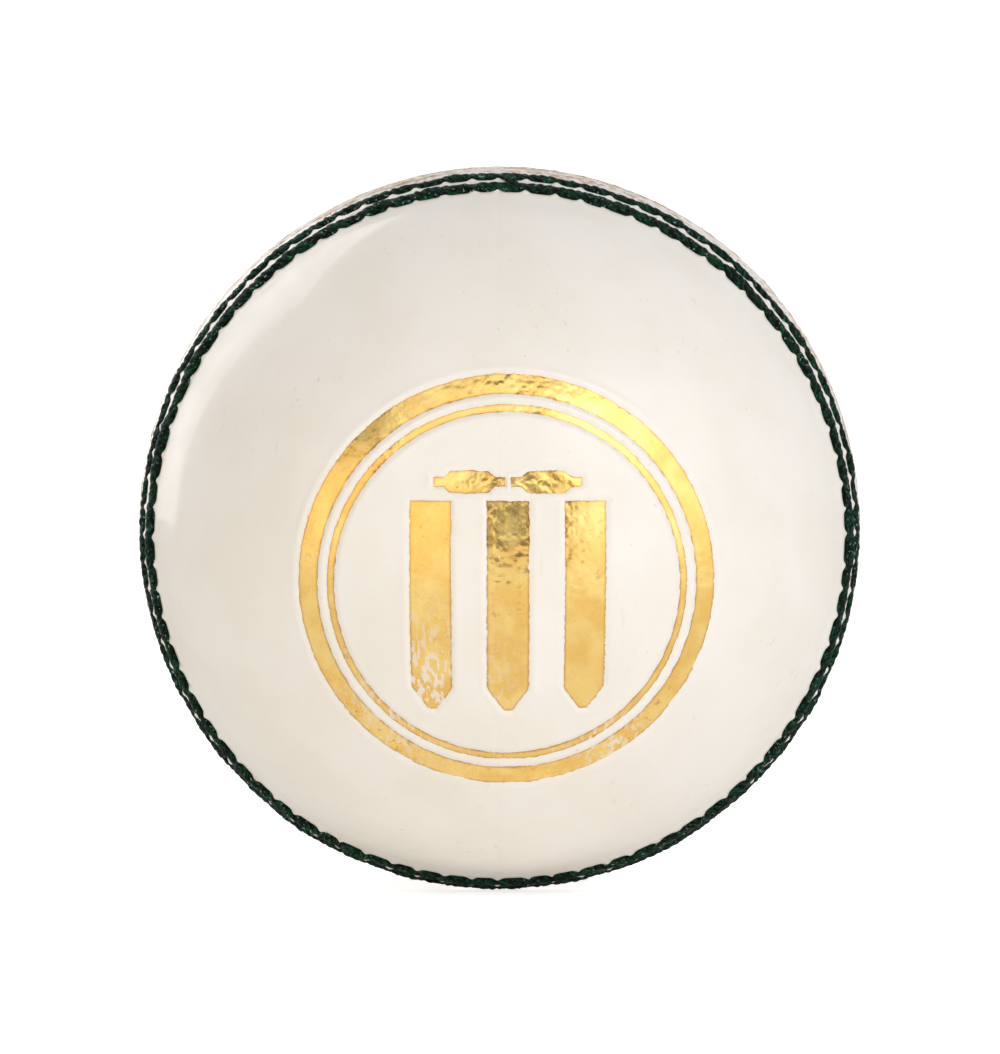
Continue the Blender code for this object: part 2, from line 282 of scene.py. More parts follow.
class Bench:
    """One material on the bench: its shader, and short calls that add and join nodes."""

    def __init__(self, name: str, **sockets: float | Colour) -> None:
        """Makes a material.

        Args:
            name: The material's name.
            sockets: Even values for the shader's own sockets, with spaces written as underscores.
        """
        self.material = bpy.data.materials.new(name)
        self.material.use_nodes = True
        self.nodes = self.material.node_tree.nodes
        self.links = self.material.node_tree.links
        self.shader = self.nodes["Principled BSDF"]
        self.place = self.add("ShaderNodeTexCoord").outputs["Object"]
        for socket, value in sockets.items():
            self.shader.inputs[socket.replace("_", " ")].default_value = value

    def add(self, kind: str, *inputs: object, **settings: object) -> bpy.types.Node:
        """Adds a node.

        Args:
            kind: The node's Blender name.
            inputs: A value or a socket for each of its first inputs, or None to leave one alone.
            settings: The node's own settings.

        Returns:
            The node.
        """
        node = self.nodes.new(kind)
        for name, value in settings.items():
            setattr(node, name, value)
        for socket, value in zip(node.inputs, inputs):
            if isinstance(value, Socket):
                self.links.new(value, socket)
            elif value is not None:
                socket.default_value = value
        return node

    def read(self, mark: str) -> Socket:
        """A value that the mesh carries at each vertex."""
        return self.add("ShaderNodeAttribute", attribute_name=mark).outputs["Fac"]

    def stretched(self, scale: tuple[float, float, float], source: Socket) -> Socket:
        """Coordinates multiplied on each axis."""
        return self.add("ShaderNodeMapping", source, None, None, scale).outputs["Vector"]

    def noise(self, size: float, detail: float = 2.0, source: Socket | None = None) -> Socket:
        """Soft noise.

        Args:
            size: The size of its largest features, in metres.
            detail: How many finer layers lie on them.
            source: Coordinates, or the piece's own.

        Returns:
            A value from 0 to 1.
        """
        node = self.add("ShaderNodeTexNoise")
        node.inputs["Scale"].default_value = 1.0 / size
        node.inputs["Detail"].default_value = detail
        self.links.new(source or self.place, node.inputs["Vector"])
        return node.outputs["Fac"]

    def cells(self, size: float, feature: str = "F1") -> Socket:
        """The distance from the middle, or the edge, of a pattern of irregular cells."""
        node = self.add("ShaderNodeTexVoronoi", feature=feature)
        node.inputs["Scale"].default_value = 1.0 / size
        self.links.new(self.place, node.inputs["Vector"])
        return node.outputs["Distance"]

    def between(
        self, value: Socket, low: float, high: float, first: float = 0.0, last: float = 1.0
    ) -> Socket:
        """A value eased from first to last, as the source goes from low to high."""
        ends = (low, high, first, last)
        return self.add("ShaderNodeMapRange", value, *ends, interpolation_type="SMOOTHSTEP").outputs["Result"]

    def times(self, first: Socket, second: Socket | float) -> Socket:
        """The product of two values."""
        return self.add("ShaderNodeMath", first, second, operation="MULTIPLY").outputs["Value"]

    def plus(self, first: Socket, second: Socket | float) -> Socket:
        """The sum of two values."""
        return self.add("ShaderNodeMath", first, second, operation="ADD").outputs["Value"]

    def blend(self, share: Socket, first: Socket | Colour, second: Socket | Colour) -> Socket:
        """A colour that goes from the first to the second as the share goes from 0 to 1."""
        node = self.add("ShaderNodeMix", data_type="RGBA")
        for socket, value in (("Factor_Float", share), ("A_Color", first), ("B_Color", second)):
            target = next(entry for entry in node.inputs if entry.identifier == socket)
            if isinstance(value, Socket):
                self.links.new(value, target)
            else:
                target.default_value = value
        return next(entry for entry in node.outputs if entry.identifier == "Result_Color")

    def raise_surface(self, height: Socket, depth: float, strength: float = 1.0) -> None:
        """Adds relief to the shader's surface, over any that it has.

        Args:
            height: The relief, from 0 to 1.
            depth: Its height in metres.
            strength: How much of it shows.
        """
        bump = self.add("ShaderNodeBump")
        bump.inputs["Strength"].default_value = strength
        bump.inputs["Distance"].default_value = depth
        self.links.new(height, bump.inputs["Height"])
        under = self.shader.inputs["Normal"]
        if under.links:
            self.links.new(under.links[0].from_socket, bump.inputs["Normal"])
        self.links.new(bump.outputs["Normal"], under)

    def set(self, socket: str, value: Socket) -> None:
        """Gives one of the shader's sockets a value that varies over the surface."""
        self.links.new(value, self.shader.inputs[socket])


@dataclass(frozen=True)
class WhiteLeather:
    """Alum-tawed hide under a white, slightly worn lacquer."""

    lacquer: Colour = dye("F5F1EC")
    shade: Colour = dye("F2EDE5")
    grime: Colour = dye("B9AFA0")
    hide: Colour = dye("AE7B48")
    # Dark brown of the thread's stain, also used as painted shade in the stitch channels beside the green
    # rows.
    seepage_and_shade: Colour = dye("5E4630")
    pore_size: float = 0.5 * MM

    def make(self) -> Material:
        """Mixes the lacquer's tints, the raw hide at the joint, and the thread's stain with painted shade in
        the stitch channels.

        Returns:
            The material. It reads the marks "raw" and "stain".
        """
        bench = Bench("white_leather", Coat_Weight=0.45, Coat_Roughness=0.08, Specular_IOR_Level=0.4)
        tint = bench.blend(bench.between(bench.noise(9.0 * MM, 3.0), 0.35, 0.65), self.lacquer, self.shade)
        specks = bench.between(bench.noise(0.55 * MM, 1.0), 0.72, 0.82, 0.0, 0.4)
        patches = bench.between(bench.noise(14.0 * MM), 0.40, 0.65)
        tint = bench.blend(bench.times(specks, patches), tint, self.grime)
        drawn = bench.stretched((1.0, 1.0, 0.16), bench.place)
        scuffs = bench.between(bench.noise(0.9 * MM, 2.0, drawn), 0.64, 0.76, 0.0, 0.18)
        scuffed = bench.between(bench.noise(8.0 * MM), 0.5, 0.66)
        tint = bench.blend(bench.times(scuffs, scuffed), tint, self.grime)
        frayed = bench.between(bench.noise(0.9 * MM, 3.0), 0.42, 0.60, 0.05, 0.95)
        tint = bench.blend(bench.times(bench.read("raw"), frayed), tint, self.hide)
        # Painted shade in the stitch channels beside the green rows, over the thread's real stain.
        seeped_and_shaded = bench.between(bench.noise(0.7 * MM, 2.0), 0.25, 0.70, 0.2, 1.0)
        tint = bench.blend(bench.times(bench.read("stain"), seeped_and_shaded), tint, self.seepage_and_shade)
        bench.set("Base Color", tint)
        bench.set("Roughness", bench.between(bench.noise(2.2 * MM, 3.0), 0.3, 0.7, 0.36, 0.52))
        bench.raise_surface(bench.between(bench.cells(self.pore_size), 0.0, 0.45), 0.010 * MM, 0.5)
        bench.raise_surface(bench.noise(0.22 * MM, 2.0), 0.010 * MM, 0.5)
        bench.raise_surface(bench.noise(3.0 * MM, 3.0), 0.05 * MM, 0.35)
        return bench.material


@dataclass(frozen=True)
class Thread:
    """Twisted thread or yarn. Its fibres follow the lay that the mesh carries as its own coordinates."""

    name: str
    deep: Colour
    bright: Colour
    lint: Colour
    lint_share: float

    def make(self) -> Material:
        """Streaks the thread along its fibres and leaves lint on it.

        Returns:
            The material. It reads the mark "lay".
        """
        bench = Bench(self.name, Sheen_Weight=0.03, Sheen_Roughness=0.4, Specular_IOR_Level=0.12)
        bench.shader.inputs["Sheen Tint"].default_value = self.bright
        lay = bench.add("ShaderNodeAttribute", attribute_name="lay").outputs["Vector"]
        fibres = bench.noise(0.16, 3.0, bench.stretched((1.0, 1.0, 0.14), lay))
        tint = bench.blend(bench.between(fibres, 0.42, 0.70), self.deep, self.bright)
        tint = bench.blend(bench.between(bench.noise(0.55 * MM, 3.0), 0.43, 0.58, 0.0, 0.92), tint, self.deep)
        lint = bench.between(bench.noise(0.34 * MM, 2.0), 0.72 - self.lint_share, 0.80 - self.lint_share)
        worn = bench.between(bench.noise(6.0 * MM), 0.38, 0.62, 0.15, 1.0)
        tint = bench.blend(bench.times(lint, worn), tint, self.lint)
        bench.set("Base Color", tint)
        bench.set("Roughness", bench.between(fibres, 0.3, 0.7, 0.75, 0.5))
        bench.raise_surface(fibres, 0.10 * MM, 0.9)
        return bench.material


@dataclass(frozen=True)
class GoldFoil:
    """Hot-stamped gold foil, crinkled by the hide under it, tarnished and flaked in places."""

    gold: Colour = (0.90, 0.58, 0.17, 1.0)
    pale: Colour = (0.96, 0.70, 0.25, 1.0)
    tarnish: Colour = (0.50, 0.22, 0.06, 1.0)
    bare: Colour = dye("EDE3D3")

    def make(self) -> Material:
        """Mixes the foil's tints and bares the lacquer where it has flaked.

        Returns:
            The material. It reads the marks "edge" and "worn".
        """
        bench = Bench("gold_foil")
        tint = bench.blend(bench.between(bench.noise(3.0 * MM, 3.0), 0.35, 0.65), self.gold, self.pale)
        dull = bench.between(bench.noise(0.8 * MM, 3.0), 0.58, 0.72, 0.0, 0.6)
        dulled = bench.between(bench.noise(7.0 * MM), 0.45, 0.65)
        tint = bench.blend(bench.times(dull, dulled), tint, self.tarnish)
        tint = bench.blend(bench.times(bench.read("edge"), 0.75), tint, self.tarnish)
        drawn = bench.stretched((1.0, 1.0, 0.3), bench.place)
        flakes = bench.between(bench.noise(0.5 * MM, 3.0, drawn), 0.50, 0.56)
        bared = bench.times(flakes, bench.read("worn"))
        bench.set("Base Color", bench.blend(bared, tint, self.bare))
        bench.set("Metallic", bench.between(bared, 0.0, 1.0, 1.0, 0.0))
        smeared = bench.between(bench.noise(1.5 * MM, 3.0), 0.3, 0.7, 0.20, 0.34)
        bench.set("Roughness", bench.plus(smeared, bench.times(bared, 0.2)))
        bench.raise_surface(bench.noise(0.28 * MM, 2.0), 0.02 * MM, 0.5)
        bench.raise_surface(bench.noise(0.10 * MM, 2.0), 0.008 * MM, 0.4)
        return bench.material


@dataclass(frozen=True)
class CorkFinish:
    """Cork crumbs of several browns in a binder."""

    name: str
    dark: Colour
    light: Colour
    pit: Colour
    crumb_size: float

    def make(self) -> Material:
        """Colours each crumb and darkens the gaps between them."""
        bench = Bench(self.name, Roughness=0.85, Specular_IOR_Level=0.2)
        browns = bench.between(bench.noise(self.crumb_size, 2.0), 0.35, 0.65)
        tint = bench.blend(browns, self.dark, self.light)
        gaps = bench.between(bench.cells(self.crumb_size, "DISTANCE_TO_EDGE"), 0.0, 0.10, 1.0, 0.0)
        tint = bench.blend(bench.times(gaps, 0.8), tint, self.pit)
        bench.set("Base Color", tint)
        bench.raise_surface(bench.between(bench.cells(self.crumb_size), 0.0, 0.6), 0.15 * MM, 0.6)
        bench.raise_surface(bench.noise(0.2 * MM, 2.0), 0.05 * MM, 0.5)
        return bench.material


@dataclass(frozen=True)
class LiningLeather:
    """Thin brown split leather with a napped face."""

    tan: Colour = dye("B98E63")
    dark: Colour = dye("8A6340")

    def make(self) -> Material:
        """Mottles the leather and raises its nap."""
        bench = Bench("lining_leather", Roughness=0.8, Specular_IOR_Level=0.25, Sheen_Weight=0.2)
        tint = bench.blend(bench.between(bench.noise(2.5 * MM, 4.0), 0.3, 0.7), self.tan, self.dark)
        bench.set("Base Color", tint)
        bench.raise_surface(bench.noise(0.25 * MM, 4.0), 0.06 * MM, 0.7)
        return bench.material


class BallShape:
    """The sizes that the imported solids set, and the way from a place on the ball to a point."""

    def __init__(self) -> None:
        """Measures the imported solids."""
        low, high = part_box("front_left_quarter")
        self.dome = -low.y
        self.ridge = high.z
        low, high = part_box("front_closing_row")
        self.half_thread = (high.y - low.y) / 2.0

    def row_distance(self, node: str) -> float:
        """The distance of a packed row of stitches from the middle of the seam."""
        low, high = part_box(node)
        latitude = math.atan2(abs(low.y + high.y) / 2.0, high.z - self.half_thread)
        return self.dome * latitude

    def point(
        self, cup: Cup, turn: np.ndarray, distance: np.ndarray, radius: np.ndarray | float
    ) -> np.ndarray:
        """Points on or near the ball.

        Args:
            cup: The cup they lie on.
            turn: Their turn round the seam.
            distance: Their distance from the middle of the seam.
            radius: Their distance from the centre.

        Returns:
            Coordinates, with the last axis of length 3.
        """
        latitude = distance / self.dome
        out = radius * np.cos(latitude)
        up = cup.value * radius * np.sin(latitude)
        return np.stack(np.broadcast_arrays(out * np.sin(turn), up, out * np.cos(turn)), axis=-1)


@dataclass(frozen=True)
class Ply:
    """A twisted thread of a few strands, spun along lines."""

    half_width: float
    half_height: float
    strands: int = 3
    groove: float = 0.24
    lay_length: float = 2.8 * MM
    sides: int = 18
    rough: float = 0.17

    def spin(self, body: Body, lines: np.ndarray, fullness: np.ndarray, capped: bool = True) -> None:
        """Adds a thread along each line.

        Args:
            body: The body that takes the threads. Its mark is "lay".
            lines: Centre points, by thread and by place along it.
            fullness: The share of the full thickness at each point.
            capped: Whether the threads end, or each joins its own start.
        """
        outward = lines / np.linalg.norm(lines, axis=-1, keepdims=True)
        before, after = np.roll(lines, 1, axis=1), np.roll(lines, -1, axis=1)
        along = after - before if not capped else np.gradient(lines, axis=1)
        along /= np.linalg.norm(along, axis=-1, keepdims=True)
        across = np.cross(outward, along)
        across /= np.linalg.norm(across, axis=-1, keepdims=True)
        up = np.cross(along, across)
        run = np.cumsum(np.linalg.norm(lines - before, axis=-1)[:, 1:], axis=1)
        run = np.concatenate([np.zeros((len(lines), 1)), run], axis=1)
        twists = run / self.lay_length
        if not capped:
            twists = run / run[:, -1:] * np.round(run[:, -1:] / self.lay_length)
        angle = np.linspace(0.0, FULL_TURN, self.sides, endpoint=False)
        facing = angle - FULL_TURN * (twists + 0.37 * np.arange(len(lines))[:, None])[..., None]
        cut = 1.0 - self.groove * (1.0 - np.abs(np.cos(facing * self.strands / 2.0))) ** 1.5
        size = cut * fullness[..., None]
        wide = (self.half_width * size * np.cos(angle))[..., None] * across[:, :, None]
        high = (self.half_height * size * np.sin(angle))[..., None] * up[:, :, None]
        length = run / self.half_width + 7.0 * np.arange(len(lines))[:, None]
        lay = np.stack(np.broadcast_arrays(np.cos(facing), np.sin(facing), length[..., None]), axis=-1)
        uneven = 1.0 + self.rough * Unevenness(0.38 * MM, 71).at(lines[:, :, None] + wide + high)
        body.tubes(body.add(lines[:, :, None] + (wide + high) * uneven[..., None], lay=lay), capped)


@dataclass
class StitchRow:
    """One row of stitches round a cup. Each stitch comes up through the hide, runs across and dives."""

    node: str
    cup: Cup
    distance: float
    seed: int
    finish: Slot = Slot.GREEN_THREAD
    stitches: int = 80
    slant: float = 0.27 * MM
    half_width: float = 0.92 * MM
    half_height: float = 0.54 * MM
    rise: float = -0.28 * MM
    bury: float = 0.75 * MM
    overlap: float = 0.52
    loose_fibres: int = 36
    channel_depth: float = 0.55 * MM
    channel_width: float = 0.85 * MM
    hole_depth: float = 0.20 * MM
    hole_width: float = 0.45 * MM
    puff_height: float = 0.32 * MM
    puff_width: float = 0.42 * MM
    puff_offset: float = 0.78 * MM
    steps: int = 36
    pitch: float = field(init=False)
    starts: np.ndarray = field(init=False)
    slants: np.ndarray = field(init=False)
    fullness: np.ndarray = field(init=False)
    lift: np.ndarray = field(init=False)
    stray: np.ndarray = field(init=False)

    def __post_init__(self) -> None:
        """Settles how much each stitch differs from the next, as handwork does."""
        random = np.random.default_rng(self.seed)
        self.pitch = FULL_TURN / self.stitches
        self.starts = (np.arange(self.stitches) + random.uniform(-0.10, 0.10, self.stitches)) * self.pitch
        self.slants = self.slant * random.uniform(0.5, 1.5, (2, self.stitches))
        self.fullness = random.uniform(0.88, 1.12, self.stitches)
        self.lift = random.uniform(-0.05, 0.07, self.stitches) * MM
        self.stray = random.uniform(-0.13, 0.13, self.stitches) * MM

    @property
    def hand(self) -> float:
        """Which way the row is sewn, so that it runs clockwise on the cup that it is seen on."""
        return -self.cup.value

    def dents(self, turn: np.ndarray, distance: np.ndarray, dome: float) -> np.ndarray:
        """How far the thread pulls the hide down, or squeezes it up, at each place.

        Args:
            turn: Turns round the seam.
            distance: Distances from the middle of the seam.
            dome: The ball's radius.

        Returns:
            Heights above the hide as it would lie unsewn.
        """
        offset = distance - self.distance
        height = -self.channel_depth * bell(offset, self.channel_width)
        along = np.mod(turn * self.hand, FULL_TURN)
        near = np.floor(along / self.pitch).astype(int)
        for neighbour in (-1, 0, 1, 2):
            stitch = (near + neighbour) % self.stitches
            gap = np.mod(along - self.starts[stitch] + HALF_TURN, FULL_TURN) - HALF_TURN
            gap *= dome
            hole = np.hypot(gap, offset - 0.1 * self.slants[0][stitch])
            height = height - self.hole_depth * bell(hole, self.hole_width)
            puff = np.hypot(gap, offset - self.puff_offset)
            height = height + self.puff_height * bell(puff, self.puff_width)
            outer_puff = np.hypot((gap - self.pitch * dome / 2.0) * 0.6, offset + self.puff_offset)
            height = height + 0.5 * self.puff_height * bell(outer_puff, self.puff_width)
        return height

    def sew(self, cover: "Cover", body: Body) -> None:
        """Adds the row's stitches.

        Args:
            cover: The hide that they go through.
            body: The body that takes them.
        """
        share = np.linspace(0.0, 1.0, self.steps)[None]
        ends = np.append(self.starts[1:], self.starts[0] + FULL_TURN)
        first = (self.starts - self.overlap * self.pitch)[:, None]
        last = (ends + self.overlap * self.pitch)[:, None]
        turn = self.hand * (first + (last - first) * share)
        lean = self.slants[0][:, None] * (1.0 - share) - self.slants[1][:, None] * share
        distance = self.distance + self.stray[:, None] + lean
        arch = np.sin(HALF_TURN * share**0.85)
        height = -self.bury + (self.bury + self.rise + self.lift[:, None]) * arch**0.34
        radius = cover.crown(self.cup, turn, distance) + height
        lines = cover.shape.point(self.cup, turn, distance, radius)
        fullness = self.fullness[:, None] * (0.78 + 0.22 * arch**0.6)
        Ply(self.half_width, self.half_height).spin(body, lines, fullness)

    def fray(self, cover: "Cover", body: Body) -> None:
        """Adds loose fibres that stand off the thread.

        Args:
            cover: The hide under the row.
            body: The body that takes the fibres.
        """
        random = np.random.default_rng(self.seed + 100)
        count = self.loose_fibres
        share = np.linspace(0.0, 1.0, 7)[None]
        turn = random.uniform(0.0, FULL_TURN, (count, 1)) + random.uniform(-0.03, 0.03, (count, 1)) * share
        side = random.uniform(-0.5, 0.5, (count, 1)) * MM
        distance = self.distance + side + random.uniform(-0.4, 0.4, (count, 1)) * MM * share
        height = (-0.1 + random.uniform(0.40, 0.62, (count, 1)) * np.sin(HALF_TURN * share)) * MM
        lines = cover.shape.point(self.cup, turn, distance, cover.crown(self.cup, turn, distance) + height)
        fibre = Ply(0.025 * MM, 0.025 * MM, groove=0.0, sides=4, rough=0.0)
        fibre.spin(body, lines, np.broadcast_to(1.0 - 0.6 * share, turn.shape))


@dataclass(frozen=True)
class FoilRing:
    """A ring of foil about the middle of the stamp."""

    node: str
    radius: float
    width: float
    joined: bool = True

    def inside(self, right: np.ndarray, up: np.ndarray) -> np.ndarray:
        """How far inside the ring's edges each point lies, below 0 where it is outside."""
        return self.width / 2.0 - np.abs(np.hypot(right, up) - self.radius)

    def grid(self, step: float) -> tuple[np.ndarray, np.ndarray]:
        """Points over the ring, about a step apart: their distances right and up."""
        angle = np.linspace(0.0, FULL_TURN, round(FULL_TURN * self.radius / step), endpoint=False)[:, None]
        radius = self.radius + self.width * np.linspace(-0.5, 0.5, round(self.width / step))[None]
        return radius * np.cos(angle), radius * np.sin(angle)


@dataclass(frozen=True)
class FoilStump:
    """A stump: a straight bar that narrows to a point at its foot."""

    node: str
    middle: float
    half_width: float = 2.1 * MM
    top: float = 8.9 * MM
    foot: float = -12.8 * MM
    point: float = 2.4 * MM
    joined: bool = False

    def half(self, up: np.ndarray) -> np.ndarray:
        """Half of the stump's width at each height."""
        return self.half_width * (0.2 + 0.8 * np.clip((up - self.foot) / self.point, 0.0, 1.0))

    def inside(self, right: np.ndarray, up: np.ndarray) -> np.ndarray:
        """How far inside the stump's edges each point lies, below 0 where it is outside."""
        side = self.half(up) - np.abs(right - self.middle)
        return np.minimum(side, np.minimum(self.top - up, up - self.foot))

    def grid(self, step: float) -> tuple[np.ndarray, np.ndarray]:
        """Points over the stump, about a step apart: their distances right and up."""
        up = np.linspace(self.top, self.foot, round((self.top - self.foot) / step))[:, None]
        across = np.linspace(-1.0, 1.0, round(2.0 * self.half_width / step))[None]
        return self.middle + self.half(up) * across, up + 0.0 * across


@dataclass(frozen=True)
class FoilBail:
    """A turned bail: a barrel with a thin spigot at each end."""

    node: str
    middle: float
    lift: float = 10.8 * MM
    half_length: float = 3.6 * MM
    spigot: float = 0.48 * MM
    barrel: float = 1.18 * MM
    joined: bool = False

    def half(self, right: np.ndarray) -> np.ndarray:
        """Half of the bail's height at each place along it."""
        from_middle = np.abs(right - self.middle) / self.half_length
        swell = self.barrel * (1.0 - 0.15 * from_middle) - self.spigot
        return self.spigot + swell * ease((0.78 - from_middle) / 0.30)

    def inside(self, right: np.ndarray, up: np.ndarray) -> np.ndarray:
        """How far inside the bail's edges each point lies, below 0 where it is outside."""
        side = self.half(right) - np.abs(up - self.lift)
        return np.minimum(side, self.half_length - np.abs(right - self.middle))

    def grid(self, step: float) -> tuple[np.ndarray, np.ndarray]:
        """Points over the bail, about a step apart: their distances right and up."""
        columns = round(2.0 * self.half_length / step)
        right = self.middle + np.linspace(-self.half_length, self.half_length, columns)
        across = np.linspace(-1.0, 1.0, round(2.0 * self.barrel / step))[None]
        return right[:, None] + 0.0 * across, self.lift + self.half(right)[:, None] * across


class Stamp:
    """The gold stamp on the front cup: a ring, a thinner one inside it, and a wicket."""

    foil_stands = 0.4 * MM
    press_depth = 0.19 * MM
    halo_height = 0.06 * MM
    soft_edge = 0.30 * MM
    stump_spacing = 7.8 * MM
    foil_step = 0.13 * MM
    foil_thickness = 0.05 * MM
    crinkle = 0.034 * MM
    band_width = 2.2 * MM
    ring_inset = 2.6 * MM
    ring_width = 0.8 * MM
    ragged_width = 0.22 * MM
    raggedness = 0.06 * MM

    def __init__(self, shape: BallShape) -> None:
        """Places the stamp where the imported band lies.

        Args:
            shape: The ball's measured sizes.
        """
        low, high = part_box("foil_outer_band")
        rim = shape.dome + self.foil_stands
        lowest, highest = (shape.dome * math.asin(abs(z) / rim) for z in (low.z, high.z))
        leftmost, rightmost = (shape.dome * math.asin(abs(x) / rim) for x in (low.x, high.x))
        self.shape = shape
        self.drop = (lowest - highest) / 2.0
        self.aside = (rightmost - leftmost) / 2.0
        band_radius = (lowest + highest) / 2.0 - self.band_width / 2.0
        spacing = self.stump_spacing
        self.foils = (
            FoilRing("foil_outer_band", band_radius, self.band_width),
            FoilRing("foil_inner_ring", band_radius - self.ring_inset, self.ring_width),
            FoilStump("foil_left_stump", -spacing),
            FoilStump("foil_middle_stump", 0.0),
            FoilStump("foil_right_stump", spacing),
            FoilBail("foil_left_bail", -spacing / 2.0),
            FoilBail("foil_right_bail", spacing / 2.0),
        )

    def press(self, turn: np.ndarray, distance: np.ndarray) -> np.ndarray:
        """How far the die sinks the hide at each place, with the soft rim that it raises."""
        from_pole = self.shape.dome * QUARTER_TURN - distance
        right, up = from_pole * np.sin(turn) - self.aside, from_pole * np.cos(turn) + self.drop
        inside = np.max([foil.inside(right, up) for foil in self.foils], axis=0)
        sunk = -self.press_depth * ease(1.0 + inside / self.soft_edge)
        return sunk + self.halo_height * bell(inside + 2.0 * self.soft_edge, self.soft_edge)

    def lay(self, foil: FoilRing | FoilStump | FoilBail, cover: "Cover", finish: Material) -> None:
        """Makes one piece of foil, crinkled over the hide and ragged at its edges.

        Args:
            foil: Its outline.
            cover: The hide that it is pressed into.
            finish: Its material.
        """
        right, up = foil.grid(self.foil_step)
        flat = np.stack([right, np.zeros_like(right), up], axis=-1)
        edge = ease(1.0 - foil.inside(right, up) / self.ragged_width)
        right = right + self.raggedness * Unevenness(0.35 * MM, 21).at(flat) * edge
        up = up + self.raggedness * Unevenness(0.35 * MM, 22).at(flat) * edge
        from_seam, above_pole = right + self.aside, up - self.drop
        turn = np.arctan2(from_seam, above_pole)
        distance = self.shape.dome * QUARTER_TURN - np.hypot(from_seam, above_pole)
        folds = Unevenness(0.55 * MM, 23).at(flat) + 0.6 * Unevenness(0.26 * MM, 24).at(flat)
        loose = 0.25 + 0.75 * np.maximum(bell(right - 1.0 * MM, 6.0 * MM), 0.6 * edge)
        height = self.crinkle * folds * loose
        hide = cover.surface(Cup.FRONT, turn, distance)
        outer = self.shape.point(Cup.FRONT, turn, distance, hide + self.foil_thickness + height)
        inner = self.shape.point(Cup.FRONT, turn, distance, hide - self.foil_thickness + height)
        worn = bell(np.hypot(right + 9.0 * MM, up + 11.0 * MM), 7.0 * MM)
        worn = np.maximum(worn, 0.8 * bell(np.hypot(right - 11.0 * MM, up + 17.0 * MM), 4.0 * MM))
        body = Body("edge", "worn")
        body.slab(outer, inner, foil.joined, edge=edge, worn=worn)
        body.place(foil.node, finish, Slot.GOLD_FOIL)


@dataclass(frozen=True)
class Quarter:
    """One of the four pieces of the cover."""

    node: str
    cup: Cup
    first_turn: float


